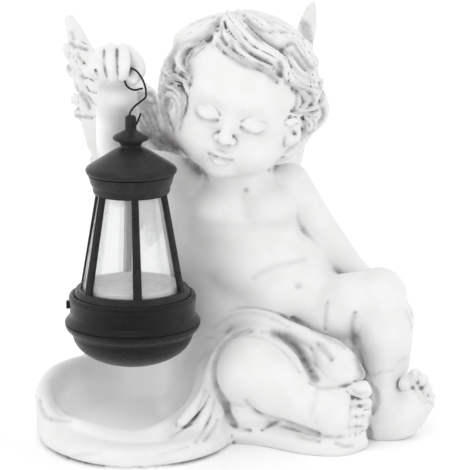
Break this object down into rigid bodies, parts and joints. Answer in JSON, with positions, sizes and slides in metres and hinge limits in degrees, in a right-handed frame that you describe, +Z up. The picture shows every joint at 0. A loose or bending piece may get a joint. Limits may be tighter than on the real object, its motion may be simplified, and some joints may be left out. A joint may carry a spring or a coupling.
{
  "type": "solar angel garden statue",
  "caption": "Seated cherub statue in off-white cast resin with a shallow basin, holding a black solar lantern with a clear glass on a wire hook.",
  "frame": {"origin": "under the middle of the whole statue's extent, on the ground", "axes": "+Z up, -Y towards the side the child faces, +X to the side of the raised knee"},
  "size_m": [0.2996, 0.229, 0.3143],
  "materials": {
    "cast_resin": "matte off-white cast resin with a grey wash in its hollows",
    "black_wire": "thin black wire",
    "black_plastic": "satin black moulded plastic",
    "clear_glass": "clear",
    "pale_plastic": "pale reflector plate"
  },
  "bodies": {
    "root": {"angel": "cast_resin", "wire_hook": "black_wire", "lantern_cap": "black_plastic", "lantern_cage": "black_plastic", "lantern_base": "black_plastic", "lantern_bowl": "black_plastic", "lantern_glass": "clear_glass", "light_plate": "pale_plastic"}
  },
  "joints": []
}
